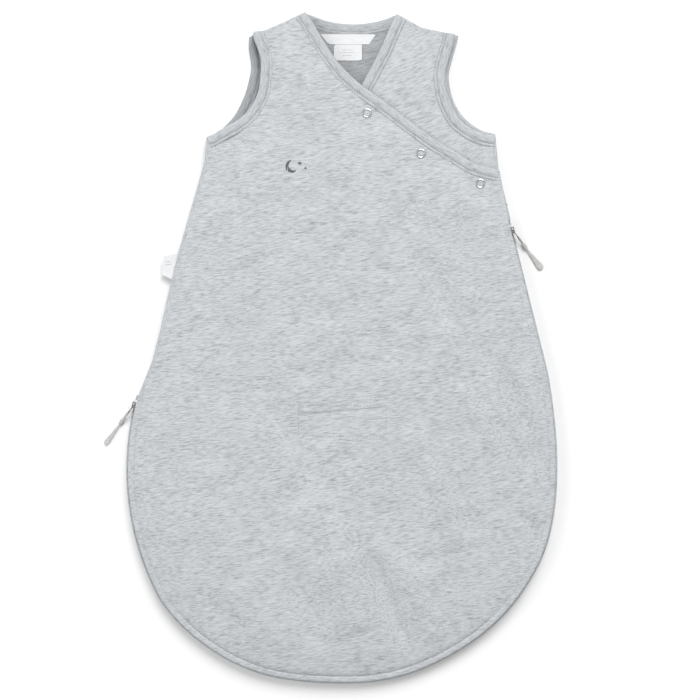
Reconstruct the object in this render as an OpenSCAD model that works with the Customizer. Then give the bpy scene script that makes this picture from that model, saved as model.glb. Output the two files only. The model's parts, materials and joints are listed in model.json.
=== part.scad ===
// Wrap-front baby sleeping bag with a two-way zip, lying flat on its back.
// +Z is up, +Y points to the neck and +X to the side where the wrap closes.
// The origin is under the middle of the bag, on the surface it lies on.

/* [Bag] */
// Length from the shoulder tips to the foot, which scales every outline
bag_length = 640; // [620:5:660]
// Thickness of the jersey cloth
cloth_t = 1.6; // [1.4:0.1:1.8]
// Space inside the bag, between the back and the front
loft = 9.8; // [9.6:0.1:10.6]

/* [Binding] */
// Width of the folded strip round the neck and the armholes
binding_w = 10; // [8:0.5:11]
// Width of the strip along the back of the neck
neck_band_w = 8.5; // [7:0.5:9]
// Thickness of one layer of the strip
binding_t = 0.6; // [0.4:0.1:0.7]

/* [Press studs] */
// Outside diameter of the open ring caps
ring_d = 9.5; // [9:0.5:10.5]
// Height of a ring above its cloth
ring_h = 0.9; // [0.7:0.1:1]
// Number of prongs that clinch a ring through its cloth
prongs = 5; // [4:1:6]
// Gap between the underlap and the front that a closed stud fills
stud_gap = 2.4; // [2.2:0.1:2.6]

/* [Zip] */
// Distance from the bag's edge to the middle of the chain
chain_inset = 3; // [3:0.1:3.4]
// Thickness of the coil, across the chain
coil_d = 2.2; // [2:0.1:2.4]
// Height of one row of coil
coil_h = 1.4; // [1.2:0.1:1.6]
// Slit between the two rows, where the sliders' wedges run
slit_h = 1; // [0.9:0.1:1.1]
// Thickness of the woven tape
tape_t = 0.8; // [0.6:0.1:0.8]
// Length of a slider along the chain
slider_l = 10; // [9:0.5:11]

/* [Zip pulls] */
// Angle between a pull and the chain it trails along
pull_angle = 23; // [15:1:40]
// Length of the metal tab from its cross bar
tab_l = 9.4; // [9:0.2:11]

/* [Harness slot] */
// Length of the slit for a car seat's crotch strap
slot_l = 79; // [60:1:80]
// Width of the slit when a strap holds it open
slot_gap = 5; // [5:0.5:7]
// Length of the facing sewn round the slit
facing_l = 86; // [84:1:96]
// Height of that facing, towards the neck
facing_w = 30; // [26:1:36]

/* [Hidden] */
$fn = 48;
k = bag_length / 640;
clearance = 0.3; // least gap between pieces that move past each other

// Heights of the layers
back_top = cloth_t;
front_under = back_top + loft;
front_top = front_under + cloth_t;
lap_top = front_under - stud_gap;
lap_under = lap_top - cloth_t;
chain_z = back_top + loft / 2;

// Zip sizes worked out from the chain
tape_flange_w = 8;
tape_flange_t = 0.6;
facing_t = 0.6;
label_t = 0.4;
guard_h = 1.7;
plate_t = 0.9;
plate_gap = coil_d / 2 + 0.4;
slider_half_h = slit_h / 2 + coil_h + 0.85;

jersey = [0.79, 0.80, 0.82];
jersey_dark = [0.70, 0.71, 0.73];
metal = [0.62, 0.63, 0.65];
label_white = [0.96, 0.96, 0.95];
cord_grey = [0.67, 0.67, 0.65];
thread_grey = [0.42, 0.44, 0.47];

// ---------- Lines and curves ----------

function unit(v) = v / norm(v);
function reverse(list) = [for (i = [len(list) - 1 : -1 : 0]) list[i]];

// A smooth line from the second knot to the last but one. The two outer knots only steer it.
function curve(knots, steps = 4) = concat(
    [for (i = [1 : len(knots) - 3], j = [0 : steps - 1])
        between(knots[i - 1], knots[i], knots[i + 1], knots[i + 2], j / steps)],
    [knots[len(knots) - 2]]);
function between(a, b, c, d, t) =
    (2 * b + (c - a) * t + (2 * a - 5 * b + 4 * c - d) * t * t
    + (3 * b - a - 3 * c + d) * t * t * t) / 2;

// The same, from the first knot to the last
function free_curve(knots, steps = 4) =
    curve(concat([knots[0]], knots, [knots[len(knots) - 1]]), steps);

// Edges run clockwise seen from above, so the cloth is on their right-hand side
function inward(edge, i) =
    let (t = unit(edge[min(i + 1, len(edge) - 1)] - edge[max(i - 1, 0)])) [t[1], -t[0]];
function inset(edge, d) = [for (i = [0 : len(edge) - 1]) edge[i] + d * inward(edge, i)];
function ribbon(edge, from, to) = concat(inset(edge, from), reverse(inset(edge, to)));
function part_of(list, first, last) = [for (i = [first : last]) list[i]];

// ---------- The bag's edges ----------

neck_back = k * free_curve([[-35, 320], [-12, 312], [12, 309.5], [34, 312], [52.5, 318.5]]);
shoulder_right = k * [[76, 305.5], [97, 301]];
arm_right_back = k * free_curve([[111, 299], [109.2, 291], [105, 276], [101.7, 260],
    [105.5, 239], [114.5, 222.5], [128, 211], [138, 206.5], [147, 204.5]]);
arm_right_front = k * free_curve([[107.5, 299.5], [105.8, 291], [101.5, 276], [98.2, 260],
    [101.5, 239], [111, 219.5], [125, 208.5], [136, 204], [146, 202.3]]);
side_right = k * [[149, 170], [155, 145.3]];
side_left = k * [[-187.5, -40.5], [-179.5, -11], [-172, 19], [-165, 50], [-153.8, 96],
    [-145, 126], [-134.5, 162.5], [-130, 178]];
arm_left_back = k * free_curve([[-128.5, 201.3], [-122.5, 204], [-115.5, 208.5], [-107.5, 216],
    [-101, 224], [-93.5, 239], [-88.6, 254.5], [-86, 269.5], [-88.2, 286], [-88, 298]]);
arm_left_front = k * free_curve([[-128.2, 201], [-122, 203.5], [-114.5, 208.3], [-103, 214.5],
    [-94, 221], [-86.7, 229], [-79, 244.6], [-76.4, 268.6], [-78, 281], [-82.2, 292],
    [-84, 299.3]]);
shoulder_left = k * [[-83.5, 301.5], [-73, 302.5], [-54, 311]];

// The edge that the zip closes: straight below the wrap's corner, then round the foot, then
// one arc up to its left end. The upper slider runs on the straight and the lower on the arc.
zip_top = k * [161.3, 119.7];
straight_end = k * [194, -11.5];
arc_middle = k * [54.7, -115.7];
arc_r = k * 260.3;
arc_from = 208.4;
arc_to = 164.2;
function on_arc(angle, r = arc_r) = arc_middle + r * [cos(angle), sin(angle)];
foot_knots = k * [[198.5, -33], [202, -57], [205, -87], [205.8, -118], [204.2, -147],
    [199.5, -175], [192, -199], [181, -220], [167, -241], [149, -261], [126, -280],
    [97, -297.5], [64, -311.5], [28, -319], [-10, -320], [-45, -317.5], [-76, -311.5],
    [-107, -299], [-135, -281], [-158, -260.5]];
arc_steps = 28;
function arc_angle(i) = arc_from + (arc_to - arc_from) * i / arc_steps;
zip_edge = concat([zip_top],
    curve(concat([zip_top, straight_end], foot_knots, [on_arc(arc_from), on_arc(arc_angle(2))])),
    [for (i = [1 : arc_steps]) on_arc(arc_angle(i))]);

back_outline = concat(neck_back, shoulder_right, arm_right_back, side_right, zip_edge,
    side_left, arm_left_back, shoulder_left);
// The same without the bound edges, where the bindings fold under the back
back_underside = concat(inset(neck_back, neck_band_w), shoulder_right,
    inset(arm_right_back, binding_w), side_right, zip_edge, side_left,
    inset(arm_left_back, binding_w), part_of(shoulder_left, 1, 2));

// The front's zip edge stands just inside the back's
front_inset = chain_inset - tape_t / 2 - 0.1;
neck_front = k * free_curve([[-35, 320], [-28.5, 310.5], [-18, 293], [-5.6, 274.6], [5, 262.5],
    [18.5, 250.4], [38, 236.5], [58, 221], [84, 202], [109, 186], [127, 175.5], [149.8, 169.4]]);
front_outline = concat(neck_front, inset(zip_edge, front_inset), side_left, arm_left_front,
    shoulder_left);

lap_neck = k * free_curve([[6, 222], [12, 236], [19, 250.5], [28.5, 268], [38, 286.5],
    [46, 305], [52.5, 318.5]]);
lap_lower = k * free_curve([[158.5, 131], [137, 134], [112, 142], [84, 157], [52, 179],
    [26, 200], [6, 222]]);
lap_outline = concat(lap_neck, shoulder_right, arm_right_front, [side_right[0]], lap_lower);

// ---------- The line that the front folds open about ----------

fold_top = k * [-36, 322];
fold_foot = k * [-188.5, -43];
fold_across = let (d = unit(fold_foot - fold_top)) [-d[1], d[0]];
reach = 900;
// The moving front stays right of the line, and its fixed side left of it
module right_of_fold()
    translate([fold_top[0], fold_top[1], -1])
        rotate([0, 0, atan2(fold_across[1], fold_across[0])])
            translate([clearance, -reach, 0])
                cube([reach, 2 * reach, 40]);
module left_of_fold()
    translate([fold_top[0], fold_top[1], -1])
        rotate([0, 0, atan2(fold_across[1], fold_across[0])])
            translate([-clearance - reach, -reach, 0])
                cube([reach, 2 * reach, 40]);

// ---------- Building blocks ----------

module slab(outline, low, high)
    translate([0, 0, low])
        linear_extrude(high - low)
            polygon(outline);

// A strip folded over the edge of a cloth that lies from low to high
module bound_edge(edge, low, high, width) {
    slab(ribbon(edge, 0, width), low - binding_t, low);
    slab(ribbon(edge, 0, width), high, high + binding_t);
    slab(ribbon(edge, -binding_t, 0), low - binding_t, high + binding_t);
}

// The end of a strip, standing up between two layers of cloth. i is the end's place in the
// edge and step points from it into the edge.
module strip_riser(edge, i, step, low, high) {
    into = cloth_t * unit(edge[i + step] - edge[i]);
    across = binding_w * inward(edge, i);
    slab([edge[i], edge[i] + across, edge[i] + across + into, edge[i] + into], low, high);
}

// ---------- Cloth panels ----------

module back_panel() color(jersey) difference() {
    union() {
        slab(back_underside, 0, binding_t);
        slab(back_outline, binding_t, back_top);
    }
    slot_cut(-1, back_top + 1);
}

module front_panel() color(jersey) difference() {
    intersection() {
        slab(front_outline, front_under, front_top);
        right_of_fold();
    }
    slot_cut(front_under - 1, front_top + 1);
}

// The fixed strip of the front, with the seams that join it to the back
module front_side_panel() color(jersey) intersection() {
    union() {
        slab(front_outline, front_under, front_top);
        slab(ribbon(k * [[-74.5, 302.4], [-54, 311], [-38, 318.4]], 0, cloth_t),
            back_top, front_under);
        slab(ribbon(concat(side_left, k * [[-129, 190]]), 0, cloth_t), back_top, front_under);
    }
    left_of_fold();
}

// The piece under the wrap, seamed to the back at its shoulder and side
module underlap() color(jersey) {
    slab(lap_outline, lap_under, lap_top);
    slab(ribbon(k * [[62.8, 312.8], [76, 305.5], [95.5, 301.2]], 0, cloth_t),
        back_top, lap_under);
    slab(ribbon(k * [[147.7, 191], [149, 170], [155, 145.3], [158.2, 132.2]], 0, cloth_t),
        back_top, lap_under);
}

// ---------- Bindings ----------

module neck_binding_front() color(jersey) intersection() {
    bound_edge(neck_front, front_under, front_top, binding_w);
    right_of_fold();
}

module neck_binding_back() color(jersey)
    bound_edge(neck_back, binding_t, back_top, neck_band_w);

module neck_binding_underlap() color(jersey) {
    bound_edge(lap_neck, lap_under, lap_top, binding_w);
    strip_riser(lap_neck, len(lap_neck) - 1, -1, back_top + binding_t, lap_under - binding_t);
}

module armhole_binding(back_edge, front_edge, low, high) color(jersey) {
    bound_edge(back_edge, binding_t, back_top, binding_w);
    bound_edge(front_edge, low, high, binding_w);
    strip_riser(front_edge, 0, 1, back_top, low - binding_t);
    strip_riser(front_edge, len(front_edge) - 1, -1, back_top, low - binding_t);
}
module armhole_binding_left()
    armhole_binding(arm_left_back, arm_left_front, front_under, front_top);
module armhole_binding_right()
    armhole_binding(arm_right_back, arm_right_front, lap_under, lap_top);

// ---------- Zip ----------

coil_out = chain_inset - coil_d / 2;
coil_in = chain_inset + coil_d / 2;
tape_out = chain_inset - tape_t / 2;
tape_in = chain_inset + tape_t / 2;
back_coil = [chain_z - slit_h / 2 - coil_h, chain_z - slit_h / 2];
front_coil = [chain_z + slit_h / 2, chain_z + slit_h / 2 + coil_h];

// The chain crosses the fold line near its left end, so the front's half stops there
last = len(zip_edge) - 1;
moving_edge = part_of(zip_edge, 0, last - 5);
end_break = arc_angle(arc_steps - 5) - 0.5;
arc_end_edge = [for (i = [0 : 4]) on_arc(end_break + (arc_to - end_break) * i / 4)];

module zip_tape_back() color(jersey_dark) {
    slab(ribbon(zip_edge, tape_out, tape_in), back_top, back_coil[0]);
    slab(ribbon(zip_edge, tape_in, tape_in + tape_flange_w), back_top, back_top + tape_flange_t);
}
module zip_tape_front() color(jersey_dark) {
    slab(ribbon(moving_edge, tape_out, tape_in), front_coil[1], front_under);
    slab(ribbon(moving_edge, tape_in, tape_in + tape_flange_w),
        front_under - tape_flange_t, front_under);
}
module zip_tape_front_end() color(jersey_dark)
    slab(ribbon(arc_end_edge, tape_out, tape_in), front_coil[1], front_under - 0.5);

module zip_coil_back() color(jersey_dark)
    slab(ribbon(zip_edge, coil_out, coil_in), back_coil[0], back_coil[1]);
module zip_coil_front() color(jersey_dark)
    slab(ribbon(moving_edge, coil_out, coil_in), front_coil[0], front_coil[1]);
module zip_coil_front_end() color(jersey_dark)
    slab(ribbon(arc_end_edge, coil_out, coil_in), front_coil[0], front_coil[1]);

// The box stop joins both rows at the left end. The top stops are separate, so it opens there.
stop_l = 1.4;
module zip_end_stop() color(metal) {
    edge = [on_arc(arc_to + 0.35), on_arc(arc_to)];
    slab(ribbon(edge, coil_out, coil_in), back_coil[1], front_coil[0]);
}
module top_stop(low, high) color(metal) {
    along = unit(straight_end - zip_top);
    edge = [zip_top - (stop_l + 0.1) * along, zip_top];
    slab(ribbon(edge, coil_out, coil_in), low, high);
}
module zip_top_stop_back() top_stop(back_coil[0], back_coil[1]);
module zip_top_stop_front() top_stop(front_coil[0], front_coil[1]);

// The rolled strip outside the zip that hides the chain
module zip_guard() color(jersey)
    slab(ribbon(zip_edge, 0, 2), back_top, back_top + guard_h);

// ---------- Sliders and pulls ----------
// A slider's own frame: x along its travel, y away from the bag, z as on the bag, with the
// origin on the middle of the chain.

bail_y = plate_gap + plate_t + 0.8;
bail_half_z = 0.7;

module slider_plate(inner_y) {
    nose = slider_half_h - 0.9;
    shape = [[-slider_l / 2, -nose], [-slider_l / 2 + 2, -slider_half_h],
        [slider_l / 2 - 1, -slider_half_h], [slider_l / 2, -slider_half_h + 1],
        [slider_l / 2, slider_half_h - 1], [slider_l / 2 - 1, slider_half_h],
        [-slider_l / 2 + 2, slider_half_h], [-slider_l / 2, nose]];
    translate([0, inner_y + plate_t, 0])
        rotate([90, 0, 0])
            linear_extrude(plate_t)
                polygon(shape);
}

module slider() color(metal) {
    wedge_t = slit_h - 2 * clearance;
    flange_t = 0.55;
    flange_w = plate_gap - tape_t / 2 - 0.4;
    slider_plate(plate_gap);
    slider_plate(-plate_gap - plate_t);
    // Wedge between the rows
    translate([-slider_l / 2, -plate_gap, -wedge_t / 2])
        cube([2.5, 2 * plate_gap, wedge_t]);
    // Lips that hold the back row
    for (side = [-1, 1])
        translate([0, side * (plate_gap - flange_w / 2), -slider_half_h + flange_t / 2])
            cube([slider_l - 3, flange_w, flange_t], center = true);
    // Bail for the pull
    translate([0, 0, -bail_half_z])
        linear_extrude(2 * bail_half_z)
            difference() {
                translate([-3, plate_gap + plate_t])
                    square([6, 2.6]);
                translate([-2, plate_gap + plate_t])
                    square([4, 1.6]);
            }
}

// A pull's own frame: x from its cross bar to its end, z as on the slider
arm_z = bail_half_z + clearance + 0.1;
arm_h = 1;
eye_x = tab_l - 2;
module pull_tab() color(metal) {
    cylinder(r = 0.45, h = 2 * arm_z + 1, center = true);
    for (side = [-1, 1])
        translate([0, 0, side * (arm_z + arm_h / 2)])
            cube_from_bar(4.2, arm_h);
    translate([4.2, 0, 0])
        rotate([90, 0, 0])
            translate([0, 0, -0.4])
                linear_extrude(0.8)
                    difference() {
                        translate([0, -arm_z - arm_h])
                            square([tab_l - 4.2, 2 * (arm_z + arm_h)]);
                        translate([eye_x - 4.2, 0])
                            circle(r = 1.1);
                    }
}
module cube_from_bar(length, height)
    translate([-0.45, -0.4, -height / 2])
        cube([length + 0.45, 0.8, height]);

// Route of a pull's cord: distance from the cross bar, and height above the surface
pull_route = [[7.4, 6.5], [10.5, 6.1], [13.5, 4.6], [16.5, 3], [19.5, 2.3], [23, 1.6],
    [28, 1.3], [34, 1.2], [40, 1.2], [46.5, 1.2]];
// Half width and half height of the cord at each point: thin, the knot, then the flared tails
pull_girth = [[1, 0.9], [1, 0.9], [1.2, 1.1], [2.3, 2], [1.6, 1.3], [1.2, 1], [1.5, 1],
    [2.2, 1], [3, 0.9], [3.8, 0.8]];
cord_sides = 8;

module pull_cord() color(cord_grey) {
    route = free_curve(pull_route, 2);
    girth = free_curve(pull_girth, 2);
    rings = len(route);
    points = [for (i = [0 : rings - 1], j = [0 : cord_sides - 1])
        let (t = unit(route[min(i + 1, rings - 1)] - route[max(i - 1, 0)]),
            a = 360 * (j + 0.5) / cord_sides,
            rise = girth[i][1] * sin(a))
        [route[i][0] - t[1] * rise, girth[i][0] * cos(a), route[i][1] - chain_z + t[0] * rise]];
    sides = [for (i = [0 : rings - 2], j = [0 : cord_sides - 1], half = [0, 1])
        let (a = i * cord_sides + j,
            b = i * cord_sides + (j + 1) % cord_sides)
        half == 0 ? [a, a + cord_sides, b + cord_sides] : [a, b + cord_sides, b]];
    near_end = [[for (j = [0 : cord_sides - 1]) j]];
    far_end = [[for (j = [cord_sides - 1 : -1 : 0]) (rings - 1) * cord_sides + j]];
    polyhedron(points, concat(sides, near_end, far_end));
}

upper_rest = 7;
module at_upper() {
    along = unit(straight_end - zip_top);
    place = zip_top + upper_rest * along + chain_inset * [along[1], -along[0]];
    translate([place[0], place[1], chain_z])
        rotate([0, 0, atan2(along[1], along[0])])
            children();
}
lower_rest = 166.3;
module at_lower() {
    place = on_arc(lower_rest, arc_r - chain_inset);
    translate([place[0], place[1], chain_z])
        rotate([0, 0, lower_rest + 90])
            mirror([0, 1, 0])
                children();
}
module on_bail()
    translate([0, bail_y, 0])
        rotate([0, 0, pull_angle])
            children();

module upper_slider() at_upper() slider();
module upper_pull_tab() at_upper() on_bail() pull_tab();
module upper_pull_cord() at_upper() on_bail() pull_cord();
module lower_slider() at_lower() slider();
module lower_pull_tab() at_lower() on_bail() pull_tab();
module lower_pull_cord() at_lower() on_bail() pull_cord();

// ---------- Press studs ----------

snap_places = k * [[24, 224], [75.5, 185.5], [132, 157]];
ring_r = ring_d / 2;
hole_r = 2.8;
prong_r = 0.35;
prong_circle = (ring_r + hole_r) / 2;
socket_r = 4.3;
bore_r = 2;
stud_flange_t = 0.4;

module at_snap(n, z)
    translate([snap_places[n - 1][0], snap_places[n - 1][1], z])
        children();

// An open ring with a rounded face, and its prongs pointing down
module prong_ring(prong_l) color(metal) {
    half = (ring_r - hole_r) / 2;
    rotate_extrude()
        polygon([for (a = [0 : 20 : 180]) [prong_circle + half * cos(a), ring_h * sin(a)]]);
    for (i = [0 : prongs - 1])
        rotate([0, 0, 360 * i / prongs])
            translate([prong_circle, 0, -prong_l])
                cylinder(r1 = prong_r / 2, r2 = prong_r, h = prong_l + ring_h / 3, $fn = 16);
}
module snap_cap_ring(n) at_snap(n, front_top)
    prong_ring(cloth_t + 0.5);
module snap_post_ring(n) at_snap(n, lap_under) mirror([0, 0, 1])
    prong_ring(cloth_t + stud_flange_t / 2);

module snap_socket(n) at_snap(n, front_under) color(metal) {
    low = stud_flange_t + clearance + 0.05 - stud_gap;
    rotate_extrude()
        polygon([[bore_r, 0], [socket_r, 0], [socket_r, low + 0.4], [socket_r - 0.4, low],
            [bore_r + 0.4, low], [bore_r, low + 0.3]]);
}
module snap_stud(n) at_snap(n, lap_top) color(metal) {
    top = stud_gap - clearance;
    rotate_extrude()
        polygon([[0, 0], [4, 0], [4, stud_flange_t], [1.4, stud_flange_t], [1.4, top - 0.9],
            [1.7, top - 0.5], [1.3, top], [0, top]]);
}

// ---------- Harness slot ----------

slot_middle = k * [0.5, -69];
slot_line = slot_middle[1] + facing_w / 2 - slot_gap / 2 - 3;

module slot_cut(low, high)
    translate([slot_middle[0] - slot_l / 2, slot_line - slot_gap / 2, low])
        cube([slot_l, slot_gap, high - low]);
module harness_facing(low) color(jersey) difference() {
    translate([slot_middle[0] - facing_l / 2, slot_middle[1] - facing_w / 2, low])
        cube([facing_l, facing_w, facing_t]);
    slot_cut(low - 1, low + facing_t + 1);
}
module harness_facing_front() harness_facing(front_under - facing_t);
module harness_facing_back() harness_facing(back_top);

// ---------- Labels and embroidery ----------

module neck_label() color(label_white)
    slab(k * [[-20.5, 300.5], [33, 300.5], [26, 290.8], [-12.5, 290.8]],
        back_top, back_top + label_t);
module size_label() color(label_white)
    slab(k * [[-7.5, 290.5], [19.3, 290.5], [19.3, 275.3], [-7.5, 275.3]],
        back_top, back_top + label_t);
module side_label() color(label_white)
    slab(k * [[-153, 91], [-170.5, 88], [-171.5, 70.5], [-160, 65]], chain_z - 0.5, chain_z + 0.5);

// A small moon and two stars in thread
module embroidered_motif() color(thread_grey)
    translate([k * -48, k * 173, front_top]) {
        difference() {
            cylinder(r = 6, h = 0.3);
            translate([2.6, 1.2, -1])
                cylinder(r = 5, h = 3);
        }
        translate([8, 3, 0])
            stitched_star(2.6);
        translate([13.5, -1.5, 0])
            stitched_star(1.8);
    }
module stitched_star(r)
    linear_extrude(0.3)
        polygon([for (i = [0 : 9]) (i % 2 == 0 ? r : r * 0.42) * [sin(36 * i), cos(36 * i)]]);

// ---------- Assembly ----------

back_panel();
front_panel();
front_side_panel();
underlap();
neck_binding_front();
neck_binding_back();
neck_binding_underlap();
armhole_binding_left();
armhole_binding_right();
zip_tape_back();
zip_tape_front();
zip_tape_front_end();
zip_coil_back();
zip_coil_front();
zip_coil_front_end();
zip_end_stop();
zip_top_stop_back();
zip_top_stop_front();
zip_guard();
upper_slider();
upper_pull_tab();
upper_pull_cord();
lower_slider();
lower_pull_tab();
lower_pull_cord();
for (n = [1 : 3]) {
    snap_cap_ring(n);
    snap_socket(n);
    snap_stud(n);
    snap_post_ring(n);
}
harness_facing_front();
harness_facing_back();
neck_label();
size_label();
side_label();
embroidered_motif();
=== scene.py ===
"""Looks of the wrap-front baby sleeping bag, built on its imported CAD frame.

Lengths are in metres, in the frame's own axes: +Z is up out of the front, +Y points to the
neck and +X to the side where the wrap closes. Edges run clockwise seen from above, so the
cloth is on their right-hand side.
"""

import json
import math

import bmesh
import bpy
import numpy as np
from mathutils import Vector, geometry
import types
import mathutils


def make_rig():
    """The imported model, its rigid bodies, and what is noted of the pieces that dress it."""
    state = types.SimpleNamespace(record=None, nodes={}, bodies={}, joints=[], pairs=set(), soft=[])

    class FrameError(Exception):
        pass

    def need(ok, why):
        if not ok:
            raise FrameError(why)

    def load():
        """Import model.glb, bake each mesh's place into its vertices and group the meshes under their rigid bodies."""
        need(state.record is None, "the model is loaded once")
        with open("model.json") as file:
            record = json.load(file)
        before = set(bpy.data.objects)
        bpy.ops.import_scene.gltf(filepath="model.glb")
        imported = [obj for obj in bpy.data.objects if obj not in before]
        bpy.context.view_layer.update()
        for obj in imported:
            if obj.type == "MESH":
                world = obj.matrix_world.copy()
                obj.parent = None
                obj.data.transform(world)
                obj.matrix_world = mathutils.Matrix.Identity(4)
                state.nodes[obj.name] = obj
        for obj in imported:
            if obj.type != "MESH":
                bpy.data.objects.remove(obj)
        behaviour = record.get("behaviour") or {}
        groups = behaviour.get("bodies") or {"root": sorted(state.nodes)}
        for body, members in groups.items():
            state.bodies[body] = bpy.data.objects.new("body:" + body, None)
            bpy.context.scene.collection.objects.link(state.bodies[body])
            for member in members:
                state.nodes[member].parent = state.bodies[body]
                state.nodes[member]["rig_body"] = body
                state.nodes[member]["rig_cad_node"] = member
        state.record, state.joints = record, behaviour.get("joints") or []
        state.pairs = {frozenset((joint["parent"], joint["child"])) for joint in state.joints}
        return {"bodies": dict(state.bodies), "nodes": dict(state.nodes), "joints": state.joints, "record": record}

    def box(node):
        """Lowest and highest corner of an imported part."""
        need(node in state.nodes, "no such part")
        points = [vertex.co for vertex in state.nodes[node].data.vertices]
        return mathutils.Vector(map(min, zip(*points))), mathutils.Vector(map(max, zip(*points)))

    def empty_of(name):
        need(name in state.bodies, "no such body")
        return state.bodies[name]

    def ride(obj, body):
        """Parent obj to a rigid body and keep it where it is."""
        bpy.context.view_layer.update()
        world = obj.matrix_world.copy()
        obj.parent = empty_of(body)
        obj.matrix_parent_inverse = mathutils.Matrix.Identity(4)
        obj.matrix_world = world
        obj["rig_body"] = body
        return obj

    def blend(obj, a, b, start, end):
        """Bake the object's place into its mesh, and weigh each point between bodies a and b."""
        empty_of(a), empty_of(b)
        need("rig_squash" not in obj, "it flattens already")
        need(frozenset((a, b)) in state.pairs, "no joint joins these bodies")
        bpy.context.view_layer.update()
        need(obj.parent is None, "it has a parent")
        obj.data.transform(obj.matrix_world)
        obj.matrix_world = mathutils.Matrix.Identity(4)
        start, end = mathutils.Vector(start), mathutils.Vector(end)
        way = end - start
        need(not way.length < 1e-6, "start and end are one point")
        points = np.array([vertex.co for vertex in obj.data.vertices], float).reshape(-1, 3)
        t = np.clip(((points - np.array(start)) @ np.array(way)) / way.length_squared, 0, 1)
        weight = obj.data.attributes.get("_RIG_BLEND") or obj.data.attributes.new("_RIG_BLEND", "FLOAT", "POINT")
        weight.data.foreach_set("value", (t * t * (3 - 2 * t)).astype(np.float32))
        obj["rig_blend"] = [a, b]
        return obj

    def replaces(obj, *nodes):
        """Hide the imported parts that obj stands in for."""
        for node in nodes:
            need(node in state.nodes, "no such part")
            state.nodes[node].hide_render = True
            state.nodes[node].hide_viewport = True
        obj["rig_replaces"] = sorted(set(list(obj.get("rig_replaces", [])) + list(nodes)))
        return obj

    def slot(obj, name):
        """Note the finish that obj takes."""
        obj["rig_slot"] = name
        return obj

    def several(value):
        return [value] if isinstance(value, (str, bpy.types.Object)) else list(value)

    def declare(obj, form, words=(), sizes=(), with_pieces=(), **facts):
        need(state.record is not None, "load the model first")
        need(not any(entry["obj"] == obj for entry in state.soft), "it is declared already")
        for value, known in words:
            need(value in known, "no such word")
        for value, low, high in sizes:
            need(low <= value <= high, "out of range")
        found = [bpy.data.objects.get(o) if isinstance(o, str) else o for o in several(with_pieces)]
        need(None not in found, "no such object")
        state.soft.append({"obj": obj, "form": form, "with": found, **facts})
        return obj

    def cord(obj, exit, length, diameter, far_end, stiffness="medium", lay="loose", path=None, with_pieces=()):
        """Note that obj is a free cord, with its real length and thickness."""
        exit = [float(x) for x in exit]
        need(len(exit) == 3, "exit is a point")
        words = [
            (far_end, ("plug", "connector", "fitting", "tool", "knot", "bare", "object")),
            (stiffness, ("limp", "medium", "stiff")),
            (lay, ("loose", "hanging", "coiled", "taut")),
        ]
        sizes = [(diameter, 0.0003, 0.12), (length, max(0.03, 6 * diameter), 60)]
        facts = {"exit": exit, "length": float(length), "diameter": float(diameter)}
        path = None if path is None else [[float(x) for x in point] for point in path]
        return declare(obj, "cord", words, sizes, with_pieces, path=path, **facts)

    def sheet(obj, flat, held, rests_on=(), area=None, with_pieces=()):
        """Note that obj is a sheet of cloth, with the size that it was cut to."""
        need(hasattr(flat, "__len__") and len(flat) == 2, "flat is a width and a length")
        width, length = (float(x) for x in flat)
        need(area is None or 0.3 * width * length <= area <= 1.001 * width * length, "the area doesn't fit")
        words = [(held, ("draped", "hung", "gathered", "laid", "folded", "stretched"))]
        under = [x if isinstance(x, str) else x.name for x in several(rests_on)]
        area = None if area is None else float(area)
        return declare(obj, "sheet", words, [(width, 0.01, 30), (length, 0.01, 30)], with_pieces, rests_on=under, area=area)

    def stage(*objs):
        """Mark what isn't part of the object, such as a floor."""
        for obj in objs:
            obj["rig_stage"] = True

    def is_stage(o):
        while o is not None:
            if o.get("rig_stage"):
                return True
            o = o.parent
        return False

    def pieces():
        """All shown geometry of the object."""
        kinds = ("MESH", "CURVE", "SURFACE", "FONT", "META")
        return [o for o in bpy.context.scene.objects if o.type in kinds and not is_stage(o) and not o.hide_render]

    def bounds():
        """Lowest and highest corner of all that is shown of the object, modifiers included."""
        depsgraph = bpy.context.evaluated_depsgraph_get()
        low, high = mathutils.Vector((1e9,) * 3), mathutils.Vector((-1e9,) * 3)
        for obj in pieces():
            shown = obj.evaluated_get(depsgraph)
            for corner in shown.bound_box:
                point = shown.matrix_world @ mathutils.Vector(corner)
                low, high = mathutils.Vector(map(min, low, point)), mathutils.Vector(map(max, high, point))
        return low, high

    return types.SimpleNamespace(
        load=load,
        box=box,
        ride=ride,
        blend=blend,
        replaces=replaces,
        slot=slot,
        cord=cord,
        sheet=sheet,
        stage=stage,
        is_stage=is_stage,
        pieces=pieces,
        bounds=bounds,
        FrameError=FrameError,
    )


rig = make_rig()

MM = 0.001
TURN = 2 * math.pi
for leftover in list(bpy.data.objects):
    bpy.data.objects.remove(leftover)
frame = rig.load()
nodes = frame["nodes"]
cad_box = [list(corner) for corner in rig.bounds()]
scene = bpy.context.scene

# ---- Camera ----

PICTURE_SIDE = 668.5 * MM
PICTURE_MIDDLE = Vector((7.9, -1.6, 6.5)) * MM
LENS = 135
SENSOR = 36


def new_object(name, data):
    made = bpy.data.objects.new(name, data)
    scene.collection.objects.link(made)
    return made


def make_camera():
    data = bpy.data.cameras.new("camera")
    data.lens = LENS
    data.sensor_width = SENSOR
    data.clip_start = 0.05
    data.clip_end = 50
    camera = new_object("camera", data)
    camera.location = PICTURE_MIDDLE + Vector((0, 0, PICTURE_SIDE * LENS / SENSOR))
    scene.camera = camera


make_camera()

# ---- Materials ----


def shader_tree(name):
    material = bpy.data.materials.new(name)
    material.use_nodes = True
    return material, material.node_tree, material.node_tree.nodes["Principled BSDF"]


def add(tree, kind, settings=None, inputs=None):
    """A new shader node, with its settings and its input values or the sockets that feed them."""
    made = tree.nodes.new(kind)
    for name, value in (settings or {}).items():
        setattr(made, name, value)
    for name, value in (inputs or {}).items():
        if isinstance(value, bpy.types.NodeSocket):
            tree.links.new(value, made.inputs[name])
        else:
            made.inputs[name].default_value = value
    return made


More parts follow.
